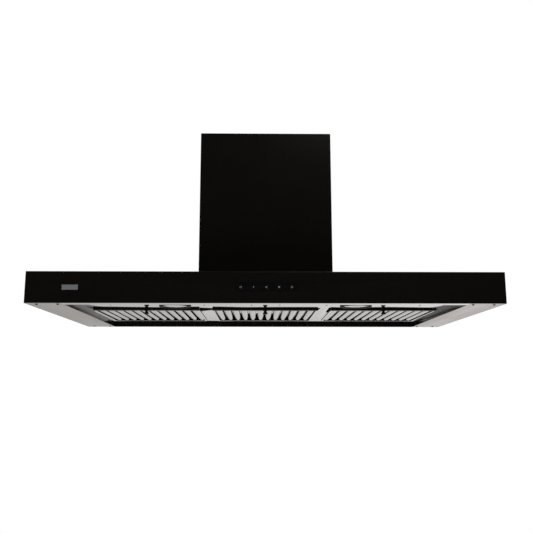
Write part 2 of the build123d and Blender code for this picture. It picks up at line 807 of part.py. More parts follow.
def chimney_tab_points():
    """The screw places in the chimney's four foot tabs."""
    reach = chimney_tab_reach
    return [(0, -reach), (0, reach), (-reach, 0), (reach, 0)]


def chimney_tab(angle):
    """A foot tab turned inward at the bottom of a chimney wall."""
    tab = centred_box(chimney_tab_width, chimney_tab_leg + 0.5, hanger_top, hanger_top + chimney_sheet,
                      0, -chimney_inner + chimney_tab_leg / 2)
    tab -= rod(cover_screw_radius + fit_gap, hanger_top - 1, hanger_top + 3, 0, -chimney_tab_reach)
    return Rot(0, 0, angle) * tab


def chimney_cover():
    """The front and both sides of the lower chimney, folded from one sheet, open at the rear."""
    half = chimney_width / 2
    outer = rounded_block(chimney_width, chimney_width, bend_radius, canopy_top, overall_height)
    inner = centred_box(2 * chimney_inner, 2 * chimney_inner, canopy_top - 1, overall_height + 1)
    wall = outer - inner
    wall -= box(-half - 1, half + 1, half - chimney_sheet - fit_gap / 2, half + 1,
                canopy_top - 1, overall_height + 1)
    wall += [chimney_tab(0), chimney_tab(90), chimney_tab(-90)]
    return wall


def chimney_rear_panel():
    """The rear panel of the lower chimney, put on last."""
    half = chimney_width / 2
    panel = box(-half, half, half - chimney_sheet, half, canopy_top, overall_height)
    panel = fillet(panel.edges().filter_by(Axis.Z).sort_by(Axis.Y)[-2:], chimney_sheet * 0.9)
    panel += chimney_tab(180)
    for x, z in rear_screw_points():
        panel -= rod_along_y(rear_screw_radius + 0.1, half - 3, half + 1, x, z)
    return panel


def rear_screw_points():
    """The screws down both edges of the chimney's rear panel."""
    x = chimney_width / 2 - rear_screw_edge
    step = (overall_height - canopy_top - 2 * rear_screw_end) / (rear_screw_rows - 1)
    return [(sx * x, canopy_top + rear_screw_end + i * step) for sx in (-1, 1) for i in range(rear_screw_rows)]


def chimney_screws():
    """Screws in the chimney's foot tabs and down its rear panel."""
    foot = [pan_screw(x, y, hanger_top + chimney_sheet, 3.4, 2.2, cover_screw_radius, 6, False)
            for x, y in chimney_tab_points()]
    y = chimney_width / 2
    rear = []
    for x, z in rear_screw_points():
        head = rod_along_y(rear_screw_head_radius, y, y + 1.6, x, z)
        head = fillet(head.edges().sort_by(Axis.Y)[-1:], 0.9)
        rear.append(head + rod_along_y(rear_screw_radius, y - 1.2, y, x, z))
    return foot + rear


def upper_chimney():
    """The inner chimney that slides out of the lower one, with vent slots near its top."""
    width = 2 * upper_cover_half
    outer = rounded_block(width, width, bend_radius, upper_cover_bottom, overall_height)
    wall = outer - centred_box(2 * upper_cover_inner, 2 * upper_cover_inner,
                               upper_cover_bottom - 1, overall_height + 1)
    slot = extrude(Plane.YZ * SlotOverall(vent_length, vent_height), width, both=True)
    for i in range(vent_slots):
        z = overall_height - vent_top_margin - vent_pitch * i
        for y in (-vent_place, vent_place):
            wall -= Pos(0, y, z) * slot
    return wall


# Hanging frame -----------------------------------------------------------------------------------


def ceiling_plate():
    """The square ring that is bolted to the ceiling."""
    half = upper_cover_inner - 1.0
    plate = centred_box(2 * half, 2 * half, ceiling_plate_bottom, overall_height)
    plate -= centred_box(ceiling_opening, ceiling_opening, ceiling_plate_bottom - 1, overall_height + 1)
    for x, y in corners(ceiling_holes_x / 2, ceiling_holes_y / 2):
        plate -= rod(ceiling_hole_radius, ceiling_plate_bottom - 1, overall_height + 1, x, y)
    return plate


def angle_post(face, z0, z1):
    """An upright angle whose outer faces are at x = face and y = -face."""
    inner = face - post_leg
    post = box(inner, face, -face, -inner, z0, z1)
    return post - box(inner - 1, face - post_sheet, -face + post_sheet, -inner + 1, z0 - 1, z1 + 1)


def four_ways(shape):
    """A corner piece mirrored into all four corners."""
    right = [shape, mirror(shape, Plane.XZ)]
    return right + [mirror(s, Plane.YZ) for s in right]


def upper_posts():
    """Four slotted angles welded under the ceiling plate."""
    post = angle_post(upper_post_face, upper_cover_bottom + 10, ceiling_plate_bottom)
    x = upper_post_face - post_leg / 2
    slot_top = bolt_z + frame_bolt_radius + 2
    slot_bottom = bolt_z - frame_travel - frame_bolt_radius - 2
    post -= box(x - frame_bolt_radius - 0.4, x + frame_bolt_radius + 0.4,
                -upper_post_face - 1, -upper_post_face + post_sheet + 0.2, slot_bottom, slot_top)
    return four_ways(post)


def lower_posts():
    """Four angles that stand on the hanger plate inside the upper ones, each with a welded foot."""
    face = lower_post_face
    post = angle_post(face, hanger_top, lower_post_top)
    post += box(face - post_leg, face, -face, -face + post_leg, hanger_top, hanger_top + post_sheet)
    post -= rod(frame_bolt_radius + fit_gap, hanger_top - 1, hanger_top + 5, foot_bolt_xy, -foot_bolt_xy)
    x = upper_post_face - post_leg / 2
    post -= rod_along_y(frame_bolt_radius, -face - 1, -face + post_sheet + 1, x, bolt_z)
    return four_ways(post)


def hexagon(radius, height):
    """A hexagonal bolt head or nut blank, upright."""
    return extrude(RegularPolygon(radius, 6), height)


def clamp_bolt():
    """A bolt through an upper post's slot and a lower post, and its nut."""
    face = upper_post_face
    x = face - post_leg / 2
    head_y = -face - fit_gap
    nut_y = -lower_post_face + post_sheet
    bolt = rod_along_y(frame_bolt_head_radius, head_y - 1.3, head_y, x, bolt_z)
    bolt += rod_along_y(frame_bolt_radius, head_y, nut_y + 6, x, bolt_z)
    nut = Plane(origin=(x, nut_y, bolt_z), x_dir=(1, 0, 0), z_dir=(0, 1, 0)) * hexagon(5.2, frame_nut_height)
    return bolt, nut - rod_along_y(frame_bolt_radius, nut_y - 1, nut_y + 7, x, bolt_z)


def foot_bolt():
    """A bolt through a lower post's foot, the hanger plate and the canopy's top, and its nut."""
    place = Pos(foot_bolt_xy, -foot_bolt_xy, 0)
    top = hanger_top + post_sheet
    under = canopy_top - shell_sheet
    bolt = place * Pos(0, 0, top) * hexagon(frame_bolt_head_radius, frame_bolt_head_height)
    bolt += place * rod(frame_bolt_radius, under - 8, top)
    nut = place * Pos(0, 0, under - frame_nut_height) * hexagon(frame_bolt_head_radius, frame_nut_height)
    return bolt, nut - place * rod(frame_bolt_radius, under - 9, under + 1)


def frame_bolts():
    """The bolts that clamp the lower posts in the upper posts' slots, and those through the posts' feet."""
    return [s for piece in clamp_bolt() + foot_bolt() for s in four_ways(piece)]


# Export ------------------------------------------------------------------------------------------


def all_nodes():
    """Every node's name and its solids."""
    nodes = {
        "canopy_shell": canopy_shell(),
        "liner": liner(),
        "side_cover_left": side_cover(-1),
        "side_cover_right": side_cover(1),
        "side_cover_brackets": side_cover_brackets(),
        "side_cover_screws": side_cover_screws(),
        "liner_rivets": liner_rivets(),
        "liner_stiffener": liner_stiffener(),
        "touch_bezel": touch_bezel(),
        "touch_glass": touch_glass(),
        "touch_board": touch_board(),
        "touch_housing": touch_housing(),
        "badge_plate": badge_plate(),
        "control_box": control_box(),
        "control_board": control_board(),
        "led_driver": led_driver(),
        "wiring": wiring(),
        "hanger_plate": hanger_plate(),
        "blower_box": blower_box(),
        "scroll_wrap": scroll_wrap(),
        "scroll_sides": scroll_sides(),
        "motor_body": motor_body(),
        "motor_bracket": motor_bracket(),
        "motor_shaft": motor_shaft(),
        "impeller": impeller(),
        "motor_capacitor": motor_capacitor(),
        "cable_gland": cable_gland(),
        "outlet_adaptor": outlet_adaptor(),
        "damper_pin": damper_pin(),
        "damper_flap_front": damper_flap(-1, front_knuckles),
        "damper_flap_rear": damper_flap(1, rear_knuckles),
        "chimney_cover": chimney_cover(),
        "chimney_rear_panel": chimney_rear_panel(),
        "chimney_screws": chimney_screws(),
        "upper_chimney": upper_chimney(),
        "ceiling_plate": ceiling_plate(),
        "upper_posts": upper_posts(),
        "lower_posts": lower_posts(),
        "frame_bolts": frame_bolts(),
    }
    for name, x in lamp_centres.items():
        nodes[f"lamp_{name}_bezel"] = lamp_bezel(x)
        nodes[f"lamp_{name}_lens"] = lamp_lens(x)
        nodes[f"lamp_{name}_housing"] = lamp_housing(x)
    for name, x in filter_centres.items():
        nodes[f"filter_{name}_frame"] = filter_frame(x)
        nodes[f"filter_{name}_lower_baffles"] = lower_baffles(x)
        nodes[f"filter_{name}_upper_baffles"] = upper_baffles(x)
        nodes[f"filter_{name}_knob"] = filter_knob(x)
        nodes[f"filter_{name}_clips"] = filter_clips(x)
    return nodes


def solids_of(shape):
    """The separate solids in a shape or a list of shapes."""
    pieces = shape if isinstance(shape, list) else [shape]
    return [solid for piece in pieces for solid in piece.solids()]


if __name__ == "__main__":
    os.makedirs("parts", exist_ok=True)
    hang = Pos(0, 0, -overall_height)
    for node, shape in all_nodes().items():
        export_step(Compound(children=[hang * s for s in solids_of(shape)]), f"parts/{node}.step")
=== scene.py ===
# %% [markdown]
# # A ceiling-hung range hood
#
# The hood's frame, its moving bodies and its sizes come from a CAD model. This lesson gives that
# model its finishes: black enamel, brushed and polished steel, zinc, moulded plastics and glass.
# It also replaces the pieces whose shape the eye reads first, such as the filter knobs, the lamps
# and the screws, with finer ones.
#
# The first cell loads the CAD model. Each CAD piece arrives as a mesh whose place is in its
# vertices, in metres, with the origin in the middle of the ceiling plate.

# %% Load the CAD model
import json
from math import cos, pi, radians, sin

import bpy
from mathutils import Matrix, Vector

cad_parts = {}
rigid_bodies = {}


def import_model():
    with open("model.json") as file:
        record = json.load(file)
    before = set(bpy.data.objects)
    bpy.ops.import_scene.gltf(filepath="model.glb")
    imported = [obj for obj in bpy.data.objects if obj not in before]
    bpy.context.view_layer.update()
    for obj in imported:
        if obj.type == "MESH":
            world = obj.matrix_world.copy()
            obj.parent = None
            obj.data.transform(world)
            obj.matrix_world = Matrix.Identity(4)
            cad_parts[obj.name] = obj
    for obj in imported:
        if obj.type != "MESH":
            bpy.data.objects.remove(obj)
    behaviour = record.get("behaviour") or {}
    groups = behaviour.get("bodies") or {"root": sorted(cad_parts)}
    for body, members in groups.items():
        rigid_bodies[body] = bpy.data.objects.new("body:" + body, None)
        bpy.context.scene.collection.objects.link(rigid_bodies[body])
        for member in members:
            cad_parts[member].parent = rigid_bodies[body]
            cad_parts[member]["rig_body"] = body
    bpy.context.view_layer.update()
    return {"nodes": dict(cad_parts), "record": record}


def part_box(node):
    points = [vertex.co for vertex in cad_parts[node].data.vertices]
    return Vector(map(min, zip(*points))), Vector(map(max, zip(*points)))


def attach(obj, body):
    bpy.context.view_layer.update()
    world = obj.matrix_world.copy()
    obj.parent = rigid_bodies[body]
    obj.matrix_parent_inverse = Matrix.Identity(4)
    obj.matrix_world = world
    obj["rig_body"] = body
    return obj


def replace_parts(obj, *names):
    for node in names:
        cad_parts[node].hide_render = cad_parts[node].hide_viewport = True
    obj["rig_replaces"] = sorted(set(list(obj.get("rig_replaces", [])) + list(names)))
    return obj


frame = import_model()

nodes = frame["nodes"]
slot_of = {part["node"]: part["material_slot"] for part in frame["record"]["subparts"]}

# %% [markdown]
# ## Writing shader maths as expressions
#
# A material is a tree of nodes. Adding Math nodes by hand takes a line for the node and a line for
# each link, and the sum it stands for gets lost. So a small class wraps a socket, and ordinary
# Python signs add the nodes: `1 - mask * 0.5` makes two Math nodes and links them. A second class
# holds the tree, with one method that adds any other kind of node.

# %% Values and recipes
class Value:
    """An output socket that can be used in sums."""

    def __init__(self, recipe, socket):
        self.recipe = recipe
        self.socket = socket

    def math(self, operation, *values):
        return self.recipe.node("Math", {"operation": operation}, dict(enumerate(values)))

    def __add__(self, other):
        return self.math("ADD", self, other)

    def __sub__(self, other):
        return self.math("SUBTRACT", self, other)

    def __rsub__(self, other):
        return self.math("SUBTRACT", other, self)

    def __mul__(self, other):
        return self.math("MULTIPLY", self, other)

    __radd__ = __add__
    __rmul__ = __mul__

    def between(self, low, high):
        """The value, which runs from 0 to 1, made to run from low to high."""
        return low + self * (high - low)

    def step(self, low, high):
        """0 below low, 1 above high, and a soft ramp between them."""
        settings = {"interpolation_type": "SMOOTHSTEP"}
        return self.recipe.node("MapRange", settings, {"Value": self, "From Min": low, "From Max": high})


class Recipe:
    """A node tree, and the ways of adding to it."""

    def __init__(self, tree):
        self.tree = tree

    def plug(self, socket, value):
        if isinstance(value, Value):
            self.tree.links.new(value.socket, socket)
        else:
            socket.default_value = value

    def node(self, kind, settings=None, inputs=None, output=0):
        made = self.tree.nodes.new("ShaderNode" + kind)
        for name, value in (settings or {}).items():
            setattr(made, name, value)
        for name, value in (inputs or {}).items():
            self.plug(made.inputs[name], value)
        return Value(self, made.outputs[output])

    def place(self, scale=(1, 1, 1)):
        """A point on the piece, stretched along each axis."""
        point = self.node("TexCoord", output="Object")
        return self.node("Mapping", inputs={"Vector": point, "Scale": scale})

    def noise(self, scale, detail=3.0, stretch=(1, 1, 1)):
        inputs = {"Vector": self.place(stretch), "Scale": scale, "Detail": detail}
        return self.node("TexNoise", inputs=inputs)

    def mix(self, amount, first, second):
        """A colour between two colours."""
        inputs = {0: amount, 6: first, 7: second}
        return self.node("Mix", {"data_type": "RGBA"}, inputs, output=2)

    def bump(self, height, distance, strength=1.0):
        inputs = {"Height": height, "Distance": distance, "Strength": strength}
        return self.node("Bump", inputs=inputs)


class Finish(Recipe):
    """A material, with its plain values on the shader's own sockets."""

    def __init__(self, name, **plain):
        self.material = bpy.data.materials.new(name)
        self.material.use_nodes = True
        super().__init__(self.material.node_tree)
        self.shader = self.tree.nodes["Principled BSDF"]
        self.set(**plain)
        finishes[name] = self.material
        print("finish:", name)

    def set(self, **values):
        """colour, metallic and the rest, given by the shader's names in lower case."""
        for name, value in values.items():
            socket = SHADER_SOCKETS[name]
            self.plug(self.shader.inputs[socket], value)


SHADER_SOCKETS = {
    "colour": "Base Color",
    "metallic": "Metallic",
    "roughness": "Roughness",
    "normal": "Normal",
    "coat": "Coat Weight",
    "coat_roughness": "Coat Roughness",
    "specular": "Specular IOR Level",
    "anisotropy": "Anisotropic",
}
finishes = {}


def grey(level, warmth=0.0):
    """A grey in linear light. Warmth above 0 leans it towards red, below 0 towards blue."""
    return (level * (1 + warmth), level, level * (1 - warmth), 1.0)


# %% [markdown]
# ## Black enamel
#
# The canopy and the chimney are folded steel with a stoved black enamel. It is almost black, with
# a very slight warm cast. Sprayed enamel dries with a fine orange-peel surface, a few tenths of a
# millimetre deep and several millimetres across, which softens reflections without blurring them.
# A flat pattern wrapped round the piece would slide or stretch, so the peel is a noise read at the
# piece's own coordinates. A second, much larger noise changes the gloss a little, as wiping does.

# %% Black enamel
enamel = Finish("black_enamel", specular=0.12)
wiping = enamel.noise(3.2, 4.0)
peel = enamel.noise(340.0, 1.5)
enamel.set(
    colour=enamel.mix(wiping, grey(0.0040, 0.12), grey(0.0062, 0.14)),
    roughness=wiping.between(0.14, 0.26),
    normal=enamel.bump(peel, 0.00006, 0.35),
)

# %% Near-black finish that paints shade on the covers' inner walls
inside = Finish("painted_wall_shade", specular=0.5)
haze = inside.noise(6.0, 3.0)
inside.set(colour=inside.mix(haze, grey(0.006, 0.12), grey(0.010, 0.12)), roughness=haze.between(0.16, 0.30))

# %% [markdown]
# ## Steel that was brushed, and steel that was polished
#
# Four steels show under the canopy. The end covers are brushed front to back: an abrasive belt
# leaves hair-fine scratches in one direction. Noise that is squeezed a hundredfold across the grain
# and left long with it gives those scratches, and they go into colour, roughness and bump, so that
# highlights break up along the grain. The filters' frames and slats are rolled bright and hardly
# scratched, so they have the same marks without the bump, and stay smooth enough to be mirrors. The
# front strip is brighter still, with only faint cloudy wiping marks.

# %% Brushed steels
def brushed(name, colour, roughness, grain=(1.0, 0.012, 1.0), depth=0.00004):
    """Steel with hair-fine scratches along the axis in which the grain is squeezed least."""
    steel = Finish(name, metallic=1.0, anisotropy=0.35)
    hairs = steel.noise(2600.0, 2.0, grain)
    bands = steel.noise(260.0, 3.0, grain)
    cloud = steel.noise(9.0, 2.0)
    mark = hairs * 0.55 + bands * 0.45
    dark = tuple(0.86 * c for c in colour[:3]) + (1.0,)
    steel.set(
        colour=steel.mix(mark.step(0.3, 0.7), dark, colour),
        roughness=mark.between(roughness * 0.8, roughness * 1.2) + cloud * 0.04,
        normal=steel.bump(mark, depth, 0.5),
    )
    return steel


brushed("brushed_steel", (0.58, 0.53, 0.515, 1), 0.30)
brushed("filter_steel", (0.60, 0.575, 0.565, 1), 0.05, depth=0.0)
brushed("slat_steel", (0.50, 0.475, 0.475, 1), 0.06, depth=0.0)

# %% Polished steel
bright = Finish("polished_steel", metallic=1.0)
smear = bright.noise(14.0, 4.0, (1.0, 0.35, 1.0))
bright.set(
    colour=bright.mix(smear, grey(0.52, 0.02), grey(0.58, 0.02)),
    roughness=smear.step(0.35, 0.75).between(0.02, 0.06),
)

# %% [markdown]
# ## Zinc
#
# The blower box, the posts and the brackets are galvanised. Molten zinc freezes in flat crystals,
# the spangle, each of which tilts its own way, so neighbouring patches are lighter or darker. A
# Voronoi texture gives each cell one random value, which suits both the tone and the roughness.

# %% Galvanised steel
zinc = Finish("galvanised_steel", metallic=1.0)
crystal = zinc.node("TexVoronoi", {"feature": "F1"}, {"Vector": zinc.place(), "Scale": 130.0}, "Color")
tone = zinc.node("SeparateColor", inputs={"Color": crystal})
bloom = zinc.noise(18.0, 4.0)
zinc.set(
    colour=zinc.mix(tone * 0.7 + bloom * 0.3, grey(0.30, -0.02), grey(0.46, -0.015)),
    roughness=tone.between(0.34, 0.52) + bloom * 0.06,
    normal=zinc.bump(tone, 0.00003, 0.4),
)

# %% [markdown]
# ## Small metal parts
#
# Screws, shafts, springs and castings are small, so one pattern does for all: a fine noise for the
# machined or cast surface and a broader one for oil and handling. Only the colour, the roughness
# and the grain's size differ, which makes a short function and a short table of calls.

# %% Small metal parts
def machined(name, colour, metallic, roughness, grain, depth, specular=0.5):
    """Metal with an even fine surface, a little darker and rougher where it was handled."""
    metal = Finish(name, metallic=metallic, specular=specular)
    fine = metal.noise(grain, 3.0)
    handled = metal.noise(40.0, 3.0)
    dark = tuple(0.75 * c for c in colour[:3]) + (1.0,)
    metal.set(
        colour=metal.mix(handled * 0.5 + fine * 0.5, dark, colour),
        roughness=handled.between(roughness * 0.85, roughness * 1.25),
        normal=metal.bump(fine, depth, 0.5),
    )
    return metal


machined("black_screw", grey(0.008), 0.0, 0.38, 1500.0, 0.00003, specular=0.15)
machined("shaft_steel", grey(0.52), 1.0, 0.24, 2200.0, 0.00001)
machined("spring_steel", grey(0.48, 0.03), 1.0, 0.26, 1800.0, 0.00001)
machined("motor_alloy", grey(0.44), 1.0, 0.48, 420.0, 0.00012)
# lamp_trim is near-black with almost no gloss: a painted reflection of the dark that the metal ring mirrors.
machined("lamp_trim", grey(0.014, 0.20), 0.0, 0.5, 1600.0, 0.00002, specular=0.06)
machined("badge_metal", grey(0.24, -0.06), 0.2, 0.40, 2400.0, 0.00001)

# %% [markdown]
# ## Moulded plastics
#
# A mould for a technical part is spark-eroded or blasted, and the plastic copies that grain: dots
# about a third of a millimetre across. It is what tells moulded black plastic from enamel. The
# grain goes into the bump, and a broad noise shifts the tone by a few percent, as flow marks do.

# %% Moulded plastics
def moulded(name, colour, roughness, grain=900.0, depth=0.00004, specular=0.5):
    """Plastic with a blasted mould's grain."""
    plastic = Finish(name, specular=specular)
    dots = plastic.noise(grain, 2.0)
    flow = plastic.noise(12.0, 3.0)
    dark = tuple(0.82 * c for c in colour[:3]) + (1.0,)
    plastic.set(
        colour=plastic.mix(flow, dark, colour),
        roughness=dots.between(roughness * 0.85, roughness * 1.15),
        normal=plastic.bump(dots, depth, 0.6),
    )
    return plastic


moulded("black_plastic", grey(0.028), 0.52)
moulded("knob_black", grey(0.005), 0.34, specular=0.08)
moulded("fan_plastic", grey(0.045, -0.05), 0.5)
moulded("damper_plastic", grey(0.11), 0.55)
moulded("pale_plastic", grey(0.62, 0.02), 0.45)
moulded("lead_sheath", grey(0.020), 0.6, 1400.0)

# %% [markdown]
# ## Glass, lens and circuit board
#
# The touch strip is a gloss black panel: a dark base under a clear, smooth coat, with finger marks
# that only show in the gloss. The lamp lens is opal plastic, pale and satin, with rings of fine
# ribs that spread the light. The circuit boards sit out of sight, behind the strip and in the
# control box, and still get copper tracks under green lacquer, from a brick pattern.

# %% Touch panel
panel = Finish("touch_black", coat_roughness=0.04, specular=0.35)
finger = panel.noise(70.0, 4.0)
panel.set(
    colour=panel.mix(finger, grey(0.0035), grey(0.0060)),
    roughness=finger.step(0.5, 0.8).between(0.06, 0.2),
    coat=finger.between(0.3, 0.5),
)

# %% Lamp lens
lens = Finish("lamp_lens", specular=0.4)
frost = lens.noise(1300.0, 2.0)
milk = lens.noise(30.0, 2.0)
lens.set(
    colour=lens.mix(milk, grey(0.74, 0.02), grey(0.86, 0.02)),
    roughness=frost.between(0.3, 0.5),
    normal=lens.bump(frost, 0.00003, 0.5),
)

# %% Circuit board
board = Finish("circuit_board", specular=0.5)
tracks = {"Vector": board.place(), "Scale": 90.0, "Mortar Size": 0.16}
tracks.update({"Color1": grey(1.0), "Color2": grey(1.0)})
copper = board.node("TexBrick", inputs={**tracks, "Mortar": grey(0.0)}, output="Fac")
board.set(
    colour=board.mix(copper, (0.012, 0.070, 0.030, 1), (0.030, 0.140, 0.050, 1)),
    roughness=copper.between(0.42, 0.28),
    normal=board.bump(copper, 0.00004, 0.6),
)

# %% [markdown]
# ## Icon print
#
# The touch keys' marks are printed in pale ink behind the gloss. They are modelled as thin raised
# shapes further down, and here get a soft white with the slight unevenness of screen printing.

# %% Icon print
ink = Finish("icon_print", specular=0.3)
screen = ink.noise(2400.0, 1.0)
ink.set(colour=ink.mix(screen, grey(0.26), grey(0.38)), roughness=screen.between(0.35, 0.5))

# %% [markdown]
# ## Painting the CAD pieces
#
# The record names a finish for every CAD piece, and the finishes above have the same names, so a
# Meshes come in flat-shaded, which shows facets on round parts. The worked copies below are smoothed
# by angle, which rounds those and keeps true corners sharp, and it doesn't move a vertex.

# %% Give every CAD piece its finish
def only(piece):
    """Select this piece alone, because an operator acts on all that is selected."""
    bpy.ops.object.select_all(action="DESELECT")
    piece.select_set(True)
    bpy.context.view_layer.objects.active = piece


def paint(piece, finish):
    piece.data.materials.clear()
    piece.data.materials.append(finishes[finish])


for name, node in nodes.items():
    paint(node, slot_of[name])
print("painted", len(nodes), "CAD pieces in", len(set(slot_of.values())), "finishes")

# %% [markdown]
# ## Broken edges on sheet metal
#
# No folded or cut edge is perfectly sharp: sheet is deburred, and the enamel pulls back to a small
# radius, which catches a thin line of light. A CAD mesh is loose triangles, so a copy of it is made
# first, its doubled points are merged and its flat faces made whole. A bevel modifier then
# breaks every edge sharper than 30 degrees. A bevel only takes material away, so the piece keeps
# to its CAD size. The copy stands for its CAD piece, which stays hidden for the physics.

# %% A helper that breaks the edges of a copy
def stands_for(piece, node, finish=None):
    """The piece is shown in place of that CAD piece, moves with its body and wears its finish."""
    paint(piece, finish or slot_of[node])
    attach(piece, nodes[node]["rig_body"])
    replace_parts(piece, node)
    return piece


def smooth(piece, angle=20):
    """Shade the piece as round, except across edges sharper than the angle."""
    only(piece)
    bpy.ops.object.shade_smooth_by_angle(angle=radians(angle))
    return piece


def break_edges(piece, width):
    """Bevel the sharp edges in two steps, which stay sharp for shading, so that flat faces look flat."""
    only(piece)
    edge = piece.modifiers.new("edge", "BEVEL")
    edge.width = width
    edge.segments = 2
    edge.limit_method = "ANGLE"
    edge.angle_limit = radians(30)
    bpy.ops.object.modifier_apply(modifier="edge")
    smooth(piece)


def whole_faces(node):
    """A copy of a CAD piece with its points merged and its flat faces made whole."""
    piece = bpy.data.objects.new(node + "_worked", nodes[node].data.copy())
    bpy.context.scene.collection.objects.link(piece)
    only(piece)
    bpy.ops.object.mode_set(mode="EDIT")
    bpy.ops.mesh.select_all(action="SELECT")
    bpy.ops.mesh.remove_doubles(threshold=0.000005)
    bpy.ops.mesh.dissolve_limited(angle_limit=radians(0.5))
    bpy.ops.object.mode_set(mode="OBJECT")
    return piece


def worked_copy(node, width):
    """A copy of a CAD piece with whole faces and broken edges, in place of it."""
    piece = whole_faces(node)
    break_edges(piece, width)
    return stands_for(piece, node)


# %% Enamelled pieces
for node in ("canopy_shell", "chimney_cover", "chimney_rear_panel", "upper_chimney"):
    piece = worked_copy(node, 0.0004)
    print(piece.name, len(piece.data.polygons), "faces")

# %% Steel and zinc pieces
for node in ("liner", "side_cover_left", "side_cover_right", "badge_plate", "hanger_plate", "ceiling_plate",
             "upper_posts", "lower_posts", "blower_box", "side_cover_brackets", "control_box"):
    piece = worked_copy(node, 0.0003)
    print(piece.name, len(piece.data.polygons), "faces")

# %% [markdown]
# ## Black end bars on the filters, the rear one painted shade
#
# Each filter's frame is steel, and gets a black bar across its front and its rear. The rear bar is
# painted shade: it stands for the dark behind the filters, not for a black part. A frame's underside is
# one large face, so it is first cut across where each bar ends. The faces beyond the cuts then get
# the black finish, and the frame stays one piece.

# %% Filters
def second_finish(piece, finish, wanted):
    """Give the faces for which wanted(face) holds another finish."""
    piece.data.materials.append(finishes[finish])
    for face in piece.data.polygons:
        if wanted(face):
            face.material_index = len(piece.data.materials) - 1


def cut_across(piece, place, way):
    """Cut all faces where they cross a plane, without opening the mesh."""
    only(piece)
    bpy.ops.object.mode_set(mode="EDIT")
    bpy.ops.mesh.select_all(action="SELECT")
    bpy.ops.mesh.bisect(plane_co=place, plane_no=way)
    bpy.ops.object.mode_set(mode="OBJECT")


bar_depth = Vector((0, 0.0142, 0))
for side in ("left", "centre", "right"):
    name = "filter_" + side
    worked_copy(name + "_upper_baffles", 0.0002)
    rail = worked_copy(name + "_frame", 0.0003)
    behind_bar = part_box(name + "_frame")[0] + bar_depth
    before_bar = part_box(name + "_frame")[1] - bar_depth
    cut_across(rail, behind_bar, (0, 1, 0))
    cut_across(rail, before_bar, (0, 1, 0))
    # The bars take the knobs' black finish; on the rear bar that black is painted shade.
    second_finish(rail, "knob_black", lambda face: not behind_bar.y < face.center.y < before_bar.y)
    print("filter", side, "worked, with its black end bars")

# %% [markdown]
# ## Rolled slats
#
# The slats that face the cook are rolled from thin strip: the underside is a shallow arc, and both
# long edges are turned up. The arc matters, because a bright slat is a mirror: its middle looks
# back under the canopy's rim at the light room, while its flanks look at the dark rear wall, which
# draws the dark arches between the slats. The arc is made as a roll former would: one long edge is
# spun about a line above the slat. Its two rims are extruded upwards, and a Solidify modifier
# gives the sheet its thickness. An Array modifier then repeats the slat at the baffle pitch.

# %% One edge to start from, and faces added to it by spinning
def start_edge(name, first, last):
    """A piece that is a single edge between two points: a small plane with three corners merged away."""
    bpy.ops.object.select_all(action="DESELECT")
    bpy.ops.mesh.primitive_plane_add(size=0.001, location=first)
    piece = bpy.context.object
    piece.name = name
    bpy.ops.object.transform_apply(location=True, rotation=True, scale=True)
    bpy.ops.object.mode_set(mode="EDIT")
    bpy.ops.mesh.select_mode(type="VERT")
    bpy.ops.mesh.select_all(action="SELECT")
    bpy.ops.mesh.merge(type="CENTER")
    bpy.ops.mesh.extrude_region_move(TRANSFORM_OT_translate={"value": Vector(last) - Vector(first)})
    bpy.ops.mesh.select_all(action="SELECT")
    return piece


def select_edges(piece, wanted):
    """In edit mode, select exactly the edges for which wanted(first, last) holds."""
    bpy.ops.mesh.select_mode(type="EDGE")
    bpy.ops.mesh.select_all(action="DESELECT")
    bpy.ops.object.mode_set(mode="OBJECT")
    points = piece.data.vertices
    for edge in piece.data.edges:
        edge.select = wanted(*(points[v].co for v in edge.vertices))
    bpy.ops.object.mode_set(mode="EDIT")


# %% Slats
def middle_normal(piece):
    """The normal of the face that lies lowest."""
    return min(piece.data.polygons, key=lambda face: face.center.z).normal


def slat_row(side, count=12, pitch=0.0245, width=0.0185, height=0.006, sheet=0.0007, lean=36):
    """A filter's lower row of slats, in the CAD row's box."""
    low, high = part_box("filter_" + side + "_lower_baffles")
    radius = width / 2 / sin(radians(lean))
    x = low.x + width / 2
    rim = low.z + radius * (1 - cos(radians(lean)))
    slat = start_edge("slats_" + side, (low.x, low.y, rim), (low.x, high.y, rim))
    bpy.ops.mesh.spin(steps=16, angle=radians(2 * lean), center=(x, 0, low.z + radius), axis=(0, 1, 0))
    select_edges(slat, lambda first, last: first.y != last.y and min(first.z, last.z) > rim - 0.00001)
    bpy.ops.mesh.extrude_region_move(TRANSFORM_OT_translate={"value": (0, 0, low.z + height - rim)})
    bpy.ops.mesh.select_all(action="SELECT")
    bpy.ops.mesh.normals_make_consistent(inside=False)
    bpy.ops.object.mode_set(mode="OBJECT")
    thick = slat.modifiers.new("sheet", "SOLIDIFY")
    thick.thickness = sheet
    thick.offset = -1 if middle_normal(slat).z < 0 else 1
    row = slat.modifiers.new("row", "ARRAY")
    row.count = count
    row.use_relative_offset = False
    row.use_constant_offset = True
    row.constant_offset_displace = (pitch, 0, 0)
    bpy.ops.object.modifier_apply(modifier="sheet")
    bpy.ops.object.modifier_apply(modifier="row")
    return smooth(slat)


for side in ("left", "centre", "right"):
    piece = stands_for(slat_row(side), "filter_" + side + "_lower_baffles", "slat_steel")
    print(piece.name, len(piece.data.polygons), "faces", [round(c, 4) for c in piece.bound_box[0]])

# %% [markdown]
# ## The covers' inner walls, darkened with painted shade
#
# The wall where an end cover turns up towards the filters is steel. A near-black finish paints the
# shade and dark reflection on it, so it reads as a dark band. The faces that stand on that side get the
# second finish.

# %% The covers' inner walls, darkened with painted shade
for side in (-1, 1):
    cover = bpy.data.objects["side_cover_" + ("left" if side < 0 else "right") + "_worked"]
    low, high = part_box(cover["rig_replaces"][0])
    inner = low.x if side > 0 else high.x
    # The steel inner wall faces get a near-black finish: painted shade, not the wall's own colour.
    second_finish(cover, "painted_wall_shade",
                  lambda face: abs(face.center.x - inner) < 0.0015 and face.center.z > low.z + 0.0004)
print("cover walls darkened")

